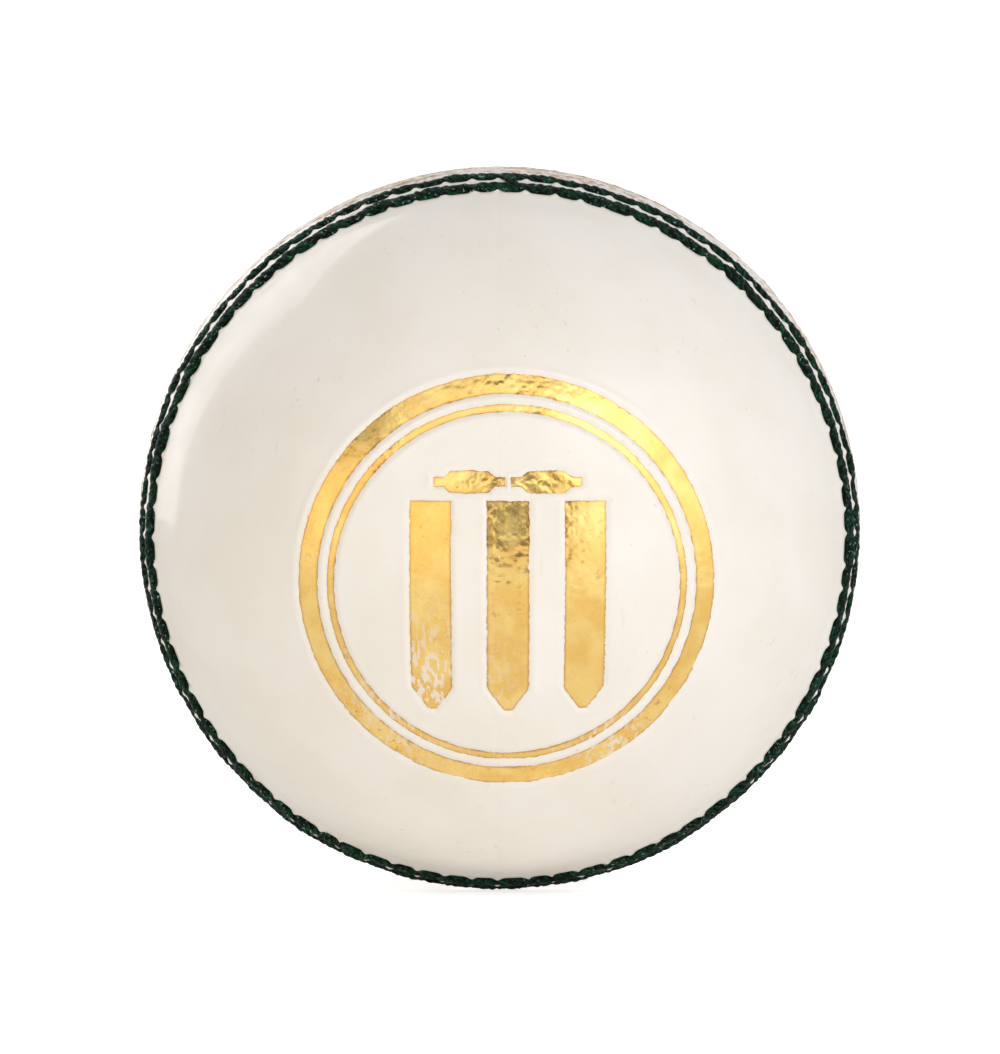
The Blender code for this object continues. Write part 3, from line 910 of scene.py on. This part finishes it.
class Cover:
    """The sewn leather cover: four quarters, six rows of stitches and the stamp."""

    hide_thickness = 3.7 * MM
    ridge_ends = 7.0 * MM
    dome_starts = 11.5 * MM
    lip_drop = 0.55 * MM
    lip_width = 0.45 * MM
    joint_gap = 0.002 * MM
    quarter_dip = 0.02 * MM
    quarter_dip_width = 0.2 * MM
    outer_row_drawn_in = 0.3 * MM
    middle_row_rises = {Cup.FRONT: -0.22 * MM, Cup.REAR: -0.44 * MM}
    outer_row_rise = -0.16 * MM
    crest = 0.12 * MM
    crest_ends = 4.4 * MM
    stamp_reach = 24.0 * MM
    lock_stitch_inset = 0.4 * MM
    seam_columns = 480
    dome_columns = 240
    lining_columns = 60
    lining_skip = 4
    quarters = (
        Quarter("front_left_quarter", Cup.FRONT, HALF_TURN),
        Quarter("front_right_quarter", Cup.FRONT, 0.0),
        Quarter("rear_upper_quarter", Cup.REAR, -QUARTER_TURN),
        Quarter("rear_lower_quarter", Cup.REAR, QUARTER_TURN),
    )

    def __init__(self, shape: BallShape) -> None:
        """Lays out the rows of stitches and the stamp.

        Args:
            shape: The ball's measured sizes.
        """
        self.shape = shape
        self.stamp = Stamp(shape)
        self.rows: list[StitchRow] = []
        for cup, seed in ((Cup.FRONT, 1), (Cup.REAR, 4)):
            side = cup.name.lower()
            closing, middle, outer = (f"{side}_{row}_row" for row in ("closing", "middle", "outer"))
            self.rows += [
                StitchRow(
                    closing,
                    cup,
                    shape.row_distance(closing),
                    seed,
                    finish=Slot.NATURAL_THREAD,
                    half_width=0.42 * MM,
                    half_height=0.36 * MM,
                    rise=-0.42 * MM,
                    channel_depth=0.30 * MM,
                    channel_width=0.5 * MM,
                    puff_height=0.05 * MM,
                    loose_fibres=0,
                ),
                StitchRow(middle, cup, shape.row_distance(middle), seed + 1, rise=self.middle_row_rises[cup]),
                StitchRow(
                    outer,
                    cup,
                    shape.row_distance(outer) - self.outer_row_drawn_in,
                    seed + 2,
                    rise=self.outer_row_rise,
                ),
            ]

    def crown(self, cup: Cup, turn: np.ndarray, distance: np.ndarray) -> np.ndarray:
        """The hide's radius before it is sewn and stamped: a low ridge, then a slightly uneven dome."""
        fall = ease((distance - self.ridge_ends) / (self.dome_starts - self.ridge_ends))
        radius = self.shape.ridge + (self.shape.dome - self.shape.ridge) * fall
        radius = radius + self.crest * ease((self.crest_ends - distance) / (2.0 * MM))
        points = self.shape.point(cup, turn, distance, self.shape.dome)
        wide = 0.06 * MM * Unevenness(17.0 * MM, 11).at(points)
        return radius + wide + 0.02 * MM * Unevenness(5.0 * MM, 12).at(points)

    def surface(self, cup: Cup, turn: np.ndarray, distance: np.ndarray) -> np.ndarray:
        """The finished hide's radius, with its lip, its stitch channels and the stamp."""
        radius = self.crown(cup, turn, distance)
        radius = radius - self.lip_drop * bell(distance, self.lip_width)
        for row in self.rows:
            if row.cup is cup:
                radius = radius + row.dents(turn, distance, self.shape.dome)
        if cup is Cup.FRONT:
            radius = radius + self.stamp.press(turn, distance)
        return radius

    def soiling_and_shade(self, cup: Cup, turn: np.ndarray, distance: np.ndarray) -> tuple[np.ndarray, np.ndarray]:
        """Where raw hide shows, and where the hide beside the green rows is darkened: partly the thread's
        stain, partly painted shade in the stitch channels.

        Args:
            cup: The cup.
            turn: Turns round the seam.
            distance: Distances from the middle of the seam.

        Returns:
            The shares of raw hide and of stain, from 0 to 1.
        """
        points = self.shape.point(cup, turn, distance, self.shape.dome)
        frayed = ease(0.5 + 1.9 * Unevenness(3.2 * MM, 13).at(points))
        raw = np.maximum(bell(distance, 0.8 * MM), frayed * bell(distance - 2.4 * MM, 1.5 * MM))
        stain = np.zeros_like(raw)
        for row in self.rows:
            if row.cup is cup and row.finish is Slot.GREEN_THREAD:
                # Painted shade in the channel beside each green row, over the thread's stain.
                stain = np.maximum(stain, 0.9 * bell(distance - row.distance + 0.15 * MM, 0.85 * MM))
        return raw, stain

    def ring_distances(self, cup: Cup) -> np.ndarray:
        """The distances of the rings of vertices, closest together at the stitches and the stamp."""
        pole = self.shape.dome * QUARTER_TURN
        seam = np.linspace(self.joint_gap, self.dome_starts, 76)
        edge_of_stamp = pole - self.stamp_reach
        rings = (48, 80) if cup is Cup.FRONT else (36, 24)
        dome = np.linspace(self.dome_starts, edge_of_stamp, rings[0])
        middle = np.linspace(edge_of_stamp, pole, rings[1] + 1)
        return np.concatenate([seam, dome[1:], middle[1:-1]])

    def cut(self, quarter: Quarter, finish: Material) -> None:
        """Makes one quarter: its outer face, its raw inner face, and the cut edges between them.

        Args:
            quarter: The quarter.
            finish: Its material.
        """
        cup = quarter.cup
        body = Body("raw", "stain")
        middle_turn = quarter.first_turn + QUARTER_TURN
        shift = self.joint_gap * np.array([math.sin(middle_turn), 0.0, math.cos(middle_turn)])
        outer, inner = [], []
        distances = self.ring_distances(cup)
        for number, distance in enumerate(distances):
            columns = self.seam_columns if distance <= self.dome_starts else self.dome_columns
            share = np.linspace(0.0, 1.0, columns + 1)
            crowding = 0.7 * float(ease(np.array((distance - 8.0 * MM) / (8.0 * MM))))
            share = share - crowding * np.sin(FULL_TURN * share) / FULL_TURN
            turn = quarter.first_turn + HALF_TURN * share
            away = np.full_like(turn, distance)
            radius = self.surface(cup, turn, away)
            across = radius * np.cos(away / self.shape.dome) * np.sin(HALF_TURN * share)
            radius = radius - self.quarter_dip * bell(across, self.quarter_dip_width)
            raw, stain = self.soiling_and_shade(cup, turn, away)
            points = self.shape.point(cup, turn, away, radius) + shift
            outer.append(body.add(points, raw=raw, stain=stain))
            if number % self.lining_skip == 0:
                turn = quarter.first_turn + HALF_TURN * np.linspace(0.0, 1.0, self.lining_columns + 1)
                points = self.shape.point(cup, turn, distance, self.shape.dome - self.hide_thickness) + shift
                bare = np.ones(len(turn))
                inner.append(body.add(points, raw=bare, stain=0.0 * bare))
        pole = np.array([[0.0, cup.value, 0.0]])
        top_radius = self.surface(cup, np.zeros(1), np.full(1, self.shape.dome * QUARTER_TURN))
        under_radius = self.shape.dome - self.hide_thickness
        tip = body.add(pole * top_radius + shift, raw=np.zeros(1), stain=np.zeros(1))
        under = body.add(pole * under_radius + shift, raw=np.ones(1), stain=np.zeros(1))
        for strips in (outer, inner):
            for first, second in itertools.pairwise(strips):
                body.bridge(first, second)
        body.bridge(outer[0], inner[0])
        body.fan(outer[-1], int(tip[0]))
        body.fan(inner[-1], int(under[0]))
        self.close_edges(body, outer, inner, int(tip[0]), int(under[0]))
        body.place(quarter.node, finish, Slot.WHITE_LEATHER)

    def close_edges(
        self, body: Body, outer: list[np.ndarray], inner: list[np.ndarray], tip: int, under: int
    ) -> None:
        """Closes a quarter's cut edge, which runs over the pole from one end of its rings to the other.

        Args:
            body: The quarter's body.
            outer: The rings of its outer face.
            inner: The rings of its inner face, one for every few of the outer ones.
            tip: The outer vertex at the pole.
            under: The inner vertex at the pole.
        """
        for end in (0, -1):
            upper = [int(ring[end]) for ring in outer] + [tip]
            lower = [int(ring[end]) for ring in inner] + [under]
            for step in range(len(lower) - 1):
                first = step * self.lining_skip
                last = len(upper) - 1 if step == len(lower) - 2 else first + self.lining_skip
                body.faces.append((*upper[first : last + 1], lower[step + 1], lower[step]))

    def lock_stitch(self, body: Body) -> None:
        """Adds the stitch that ties off the front cup's two green rows to each other."""
        middle, outer = (row for row in self.rows if row.cup is Cup.FRONT and row.finish is Slot.GREEN_THREAD)
        share = np.linspace(0.0, 1.0, 24)[None]
        turn = np.radians(2.6 - 1.9 * share)
        inset = self.lock_stitch_inset
        distance = outer.distance + inset + (middle.distance - outer.distance - 2.0 * inset) * share
        height = (-0.6 + 0.85 * np.sin(HALF_TURN * share) ** 0.4) * MM
        radius = self.crown(Cup.FRONT, turn, distance) + height
        lines = self.shape.point(Cup.FRONT, turn, distance, radius)
        fullness = 0.5 + 0.5 * np.sin(HALF_TURN * share) ** 0.5
        Ply(0.60 * MM, 0.40 * MM).spin(body, lines, fullness)

    def build(self, finishes: dict[Slot, Material]) -> None:
        """Makes the quarters, the rows and the foil.

        Args:
            finishes: The material of each slot.
        """
        for quarter in self.quarters:
            self.cut(quarter, finishes[Slot.WHITE_LEATHER])
        for row in self.rows:
            body = Body("lay")
            row.sew(self, body)
            if row.loose_fibres:
                row.fray(self, body)
            if row.node == "front_outer_row":
                self.lock_stitch(body)
            body.place(row.node, finishes[row.finish], row.finish)
        for foil in self.stamp.foils:
            self.stamp.lay(foil, self, finishes[Slot.GOLD_FOIL])


@dataclass(frozen=True)
class Turned:
    """A way of laying the core's layers: an axis, and the directions from which their turn is counted."""

    axis: tuple[float, float, float]
    first: tuple[float, float, float]

    def point(self, turn: np.ndarray, tilt: np.ndarray, radius: np.ndarray | float) -> np.ndarray:
        """Points by turn about the axis, by tilt away from it and by radius."""
        axis, first = np.array(self.axis), np.array(self.first)
        second = np.cross(axis, first)
        turn, tilt, radius = np.broadcast_arrays(turn, tilt, radius)
        flat = np.cos(turn)[..., None] * first + np.sin(turn)[..., None] * second
        return radius[..., None] * (np.cos(tilt)[..., None] * axis + np.sin(tilt)[..., None] * flat)


@dataclass(frozen=True)
class Winding:
    """A layer of wool yarn, wound in bands that cross over each other."""

    node: str
    thickness: float
    lay: Turned
    seed: int
    bands: int = 34
    strands: int = 4
    yarn_radius: float = 0.52 * MM
    tuck_hole: float = 1.6 * MM
    steps: int = 72

    def build(self, finish: Material) -> None:
        """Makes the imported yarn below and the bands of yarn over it.

        Args:
            finish: The yarn's material.
        """
        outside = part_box(self.node)[1].x
        under = outside - 1.6 * self.yarn_radius
        body = Body("lay")
        turn = np.linspace(0.0, FULL_TURN, 96, endpoint=False)[:, None]
        hole = self.tuck_hole / outside
        tilt = np.linspace(hole, HALF_TURN - hole, 49)[None]
        outer = self.lay.point(turn, tilt, under)
        packed = 0.12 * MM * Unevenness(1.3 * MM, self.seed).at(outer)
        outer = self.lay.point(turn, tilt, under + packed)
        inner = self.lay.point(turn, tilt, outside - self.thickness)
        body.slab(outer, inner, joined=True, lay=outer / MM)
        random = np.random.default_rng(self.seed)
        along = np.linspace(0.0, FULL_TURN, self.steps, endpoint=False)
        lines = []
        for band in range(self.bands):
            axis = random.normal(size=3)
            axis /= np.linalg.norm(axis)
            first = np.cross(axis, [0.3, 0.5, 0.8])
            way = Turned(tuple(axis), tuple(first / np.linalg.norm(first)))
            layer = outside - self.yarn_radius * (1.0 + 0.6 * (1.0 - band / self.bands))
            for strand in range(self.strands):
                aside = (strand - (self.strands - 1) / 2.0) * 2.05 * self.yarn_radius
                wander = 0.25 * self.yarn_radius * np.sin(3.0 * along + random.uniform(0.0, FULL_TURN))
                lines.append(way.point(along, QUARTER_TURN + (aside + wander) / layer, layer))
        lines = np.stack(lines)
        yarn = Ply(self.yarn_radius, self.yarn_radius, strands=2, groove=0.12, lay_length=3.4 * MM, sides=8)
        yarn.spin(body, lines, np.ones(lines.shape[:2]), capped=False)
        body.place(self.node, finish, Slot.WOOL_YARN)


@dataclass(frozen=True)
class CorkLayer:
    """Four strips of laid cork round a winding, crumbly on both faces."""

    name: str
    lay: Turned
    thickness: float = 1.8 * MM
    outer_crumb_depth: float = 0.16 * MM
    inner_crumb_depth: float = 0.10 * MM
    strips: int = 4
    gap: float = math.radians(3.0)
    pole: float = math.radians(9.0)

    def build(self, finish: Material) -> None:
        """Makes each strip.

        Args:
            finish: The cork's material.
        """
        step = FULL_TURN / self.strips
        for strip in range(self.strips):
            node = f"{self.name}_{strip + 1}"
            outside = self.outside(node)
            share = np.linspace(0.0, 1.0, 72)[:, None]
            tilt = np.linspace(self.pole, HALF_TURN - self.pole, 108)[None]
            turn = step * strip + (step - self.gap) * share
            turn = turn + 0.010 * np.sin(9.0 * tilt + strip) * (2.0 * share - 1.0)
            smooth = self.lay.point(turn, tilt, outside)
            lumps = crumbs(smooth, 1.5 * MM, 0.6 * MM, 31)
            outer = self.lay.point(turn, tilt, outside - self.outer_crumb_depth * lumps)
            inner = self.lay.point(turn, tilt, outside - self.thickness + self.inner_crumb_depth * lumps)
            body = Body()
            body.slab(outer, inner)
            body.place(node, finish, Slot.CORK)

    def outside(self, node: str) -> float:
        """The strip's outer radius, from its length along the lay's axis."""
        low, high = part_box(node)
        half_length = max(abs(value * part) for value, part in zip(high, self.lay.axis))
        return half_length / math.cos(self.pole)


@dataclass(frozen=True)
class QuarterSeam:
    """What joins two quarters into a cup from inside: a hidden thread and a backing strip."""

    cup: Cup
    backing_inside: float = 30.1 * MM
    backing_thickness: float = 0.6 * MM
    backing_half_width: float = 6.0 * MM
    end: float = math.radians(6.0)
    thread_centre: float = 31.35 * MM
    thread_radius: float = 0.3 * MM
    stitch_half_width: float = 1.3 * MM
    paring_depth: float = 0.25 * MM
    paring_width: float = 1.4 * MM
    stitches: int = 32

    def point(self, along: np.ndarray, across: np.ndarray, radius: np.ndarray | float) -> np.ndarray:
        """Points by angle along the seam from one end to the other, by distance from it and by radius."""
        front = self.cup is Cup.FRONT
        start = np.array([0.0, 0.0, 1.0]) if front else np.array([1.0, 0.0, 0.0])
        side = np.array([1.0, 0.0, 0.0]) if front else np.array([0.0, 0.0, 1.0])
        pole = np.array([0.0, self.cup.value, 0.0])
        along, aside, radius = np.broadcast_arrays(along, across / radius, radius)
        over = np.cos(along)[..., None] * start + np.sin(along)[..., None] * pole
        return radius[..., None] * (np.cos(aside)[..., None] * over + np.sin(aside)[..., None] * side)

    def build(self, backing: Material, thread: Material) -> None:
        """Makes the strip and the thread.

        Args:
            backing: The strip's material.
            thread: The thread's material.
        """
        name = f"{self.cup.name.lower()}_quarter_seam"
        along = np.linspace(self.end, HALF_TURN - self.end, 220)[:, None]
        across = self.backing_half_width * np.linspace(-1.0, 1.0, 31)[None]
        smooth = self.point(along, across, self.backing_inside)
        nap = 0.05 * MM * Unevenness(1.2 * MM, 41).at(smooth)
        unpared = self.backing_half_width - self.paring_width
        pared = self.paring_depth * ease((np.abs(across) - unpared) / self.paring_width)
        body = Body()
        body.slab(
            self.point(along, across, self.backing_inside + self.backing_thickness - pared + nap),
            self.point(along, across, self.backing_inside + nap),
        )
        body.place(f"{name}_backing", backing, Slot.LINING_LEATHER)
        share = np.linspace(0.0, 1.0, self.stitches * 12 + 1)[None]
        along = self.end + (HALF_TURN - 2.0 * self.end) * share
        sway = np.sin(self.stitches * HALF_TURN * share + QUARTER_TURN)
        sway = np.sign(sway) * np.abs(sway) ** 0.7
        lines = self.point(along, self.stitch_half_width * sway, self.thread_centre)
        body = Body("lay")
        radius = self.thread_radius
        ply = Ply(radius, radius, strands=2, groove=0.25, lay_length=1.8 * MM, sides=12)
        ply.spin(body, lines, np.ones(lines.shape[:2]))
        body.place(f"{name}_thread", thread, Slot.NATURAL_THREAD)


class Core:
    """The quilt inside the cover, and the two hidden quarter seams."""

    upright = Turned((0.0, 0.0, 1.0), (1.0, 0.0, 0.0))
    sideways = Turned((1.0, 0.0, 0.0), (0.0, 0.0, -1.0))
    leaning = Turned((0.0, -math.sin(math.radians(60.0)), 0.5), (1.0, 0.0, 0.0))
    facing_rear = Turned((0.0, 1.0, 0.0), (0.0, 0.0, 1.0))
    yarn_thickness = 3.7 * MM
    outer_yarn_thickness = 3.9 * MM
    crumb_depth = 0.22 * MM

    def nut(self, finish: Material) -> None:
        """Makes the moulded nut, its surface pitted between cork crumbs.

        Args:
            finish: Its material.
        """
        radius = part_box("cork_rubber_nut")[1].z
        shape = bmesh.new()
        bmesh.ops.create_icosphere(shape, subdivisions=6, radius=radius)
        points = np.array([vertex.co for vertex in shape.verts])
        corners = [tuple(vertex.index for vertex in face.verts) for face in shape.faces]
        shape.free()
        lumps = crumbs(points, 2.1 * MM, 0.9 * MM, 51)
        body = Body()
        body.add(points * (1.0 - self.crumb_depth * lumps / radius)[:, None])
        body.faces = corners
        body.place("cork_rubber_nut", finish, Slot.CORK_RUBBER)

    def build(self, finishes: dict[Slot, Material]) -> None:
        """Makes every layer from the nut outwards.

        Args:
            finishes: The material of each slot.
        """
        self.nut(finishes[Slot.CORK_RUBBER])
        wool, cork = finishes[Slot.WOOL_YARN], finishes[Slot.CORK]
        Winding("inner_yarn_winding", self.yarn_thickness, self.sideways, 61, bands=20).build(wool)
        CorkLayer("inner_cork_strip", self.upright).build(cork)
        Winding("middle_yarn_winding", self.yarn_thickness, self.leaning, 62, bands=26).build(wool)
        CorkLayer("outer_cork_strip", self.sideways).build(cork)
        Winding("outer_yarn_winding", self.outer_yarn_thickness, self.facing_rear, 63).build(wool)
        for cup in Cup:
            QuarterSeam(cup).build(finishes[Slot.LINING_LEATHER], finishes[Slot.NATURAL_THREAD])


@dataclass(frozen=True)
class SoftBox:
    """A large, soft studio light that looks at the ball."""

    name: str
    azimuth: float
    elevation: float
    width: float
    height: float
    brightness: float
    tint: Colour
    only_gloss: bool = False
    away: float = 0.62

    def hang(self) -> None:
        """Puts the light in place. Its power gives the same brightness whatever its size."""
        lamp = bpy.data.lights.new(self.name, "AREA")
        lamp.shape = "RECTANGLE"
        lamp.size, lamp.size_y = self.width, self.height
        lamp.energy = self.brightness * math.pi * self.width * self.height
        lamp.color = self.tint[:3]
        stand = bpy.data.objects.new(self.name, lamp)
        bpy.context.scene.collection.objects.link(stand)
        stand.visible_camera = False
        stand.visible_diffuse = not self.only_gloss
        look_from(stand, self.azimuth, self.elevation, self.away)


def look_from(thing: bpy.types.Object, azimuth: float, elevation: float, away: float) -> None:
    """Places an object round the ball and turns it to the centre.

    Args:
        thing: A camera or a light.
        azimuth: Degrees round from -Y towards +X.
        elevation: Degrees above the level of the centre.
        away: The distance from the centre.
    """
    turn, rise = math.radians(azimuth), math.radians(elevation)
    back = Vector((math.sin(turn) * math.cos(rise), -math.cos(turn) * math.cos(rise), math.sin(rise)))
    thing.location = back * away
    thing.rotation_mode = "QUATERNION"
    thing.rotation_quaternion = (-back).to_track_quat("-Z", "Y")


@dataclass(frozen=True)
class Studio:
    """A plain pale floor, soft light and the camera."""

    camera_azimuth: float = 0.3
    camera_elevation: float = 5.5
    camera_away: float = 2.0
    camera_lens: float = 679.0
    floor_radius: float = 2.5
    floor_tint: Colour = dye("F4F2EE")
    floor_glow: float = 0.17
    floor_whitening: float = 0.58
    front_glow: float = 0.20
    rear_glow: float = 0.72
    boxes: tuple[SoftBox, ...] = (
        SoftBox("left_box", -39.0, 11.5, 0.74, 0.34, 1.08, (1.0, 0.86, 0.64, 1.0)),
        SoftBox("right_box", 50.0, 20.0, 0.69, 0.60, 1.25, (1.0, 0.985, 0.975, 1.0)),
        SoftBox("top_box", 6.0, 41.0, 0.95, 0.38, 1.12, (1.0, 0.985, 0.975, 1.0)),
        SoftBox("rim_box", -145.0, 10.0, 0.40, 0.80, 1.8, (1.0, 0.96, 0.95, 1.0), only_gloss=True),
    )

    def lay_floor(self, lowest: float) -> None:
        """Makes the floor: a wide, flat disc at the ball's lowest point.

        Args:
            lowest: The height of the ball's lowest point.
        """
        shape = bmesh.new()
        bmesh.ops.create_circle(shape, cap_ends=True, segments=96, radius=self.floor_radius)
        mesh = bpy.data.meshes.new("floor")
        shape.to_mesh(mesh)
        shape.free()
        floor = bpy.data.objects.new("floor", mesh)
        floor.location = (0.0, 0.0, lowest)
        bpy.context.scene.collection.objects.link(floor)
        bench = Bench("pale_floor", Base_Color=self.floor_tint, Roughness=0.9)
        bench.shader.inputs["Emission Color"].default_value = (1.0, 1.0, 1.0, 1.0)
        seen = bench.add("ShaderNodeLightPath").outputs["Is Camera Ray"]
        bench.set("Emission Strength", bench.plus(bench.times(seen, self.floor_whitening), self.floor_glow))
        mesh.materials.append(bench.material)
        floor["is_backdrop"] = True

    def light_room(self) -> None:
        """Lights the room: white behind the ball, dim on the camera's side."""
        world = bpy.data.worlds.new("studio")
        bpy.context.scene.world = world
        world.use_nodes = True
        nodes, links = world.node_tree.nodes, world.node_tree.links
        seen = nodes.new("ShaderNodeLightPath").outputs["Is Camera Ray"]
        split = nodes.new("ShaderNodeSeparateXYZ")
        links.new(nodes.new("ShaderNodeTexCoord").outputs["Generated"], split.inputs["Vector"])
        glow = nodes.new("ShaderNodeMapRange")
        glow.interpolation_type = "SMOOTHSTEP"
        for socket, value in zip(glow.inputs[1:5], (-0.25, 0.45, self.front_glow, self.rear_glow)):
            socket.default_value = value
        links.new(split.outputs["Y"], glow.inputs["Value"])
        brightest = nodes.new("ShaderNodeMath")
        brightest.operation = "MAXIMUM"
        links.new(glow.outputs["Result"], brightest.inputs[0])
        links.new(seen, brightest.inputs[1])
        links.new(brightest.outputs["Value"], nodes["Background"].inputs["Strength"])
        nodes["Background"].inputs["Color"].default_value = (1.0, 1.0, 1.0, 1.0)
        for box in self.boxes:
            box.hang()

    def set_camera(self) -> None:
        """Puts the camera in front of the front cup, a little above it."""
        camera = bpy.data.objects.new("camera", bpy.data.cameras.new("camera"))
        bpy.context.scene.collection.objects.link(camera)
        camera.data.lens = self.camera_lens
        camera.data.clip_end = 20.0
        look_from(camera, self.camera_azimuth, self.camera_elevation, self.camera_away)
        bpy.context.scene.camera = camera
        bpy.context.scene.view_settings.view_transform = "Standard"

    def build(self, lowest: float) -> None:
        """Makes the floor, the light and the camera.

        Args:
            lowest: The height of the ball's lowest point.
        """
        self.lay_floor(lowest)
        self.light_room()
        self.set_camera()


def make_finishes() -> dict[Slot, Material]:
    """Makes each slot's material.

    Returns:
        The material of each slot.
    """
    return {
        Slot.WHITE_LEATHER: WhiteLeather().make(),
        Slot.LINING_LEATHER: LiningLeather().make(),
        Slot.GREEN_THREAD: Thread(
            "green_thread", dye("010402"), dye("135C3F"), dye("7FA79D"), lint_share=0.10
        ).make(),
        Slot.NATURAL_THREAD: Thread(
            "natural_thread", dye("B9A37E"), dye("F0E2C6"), dye("8A6A45"), lint_share=0.10
        ).make(),
        Slot.GOLD_FOIL: GoldFoil().make(),
        Slot.CORK: CorkFinish("cork", dye("8C6238"), dye("C39A66"), dye("4A2E19"), 1.4 * MM).make(),
        Slot.CORK_RUBBER: CorkFinish(
            "cork_rubber", dye("3B2A20"), dye("8A623C"), dye("1D1613"), 1.9 * MM
        ).make(),
        Slot.WOOL_YARN: Thread(
            "wool_yarn", dye("B8AA90"), dye("EDE4D0"), dye("9C8A6C"), lint_share=0.0
        ).make(),
    }


def main() -> None:
    """Builds the ball from the core outwards, then the room round it."""
    logging.basicConfig(level=logging.INFO, format="%(name)s: %(message)s")
    finishes = make_finishes()
    Core().build(finishes)
    shape = BallShape()
    Cover(shape).build(finishes)
    low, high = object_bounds()
    Studio().build(low.z)


if __name__ == "__main__":
    main()
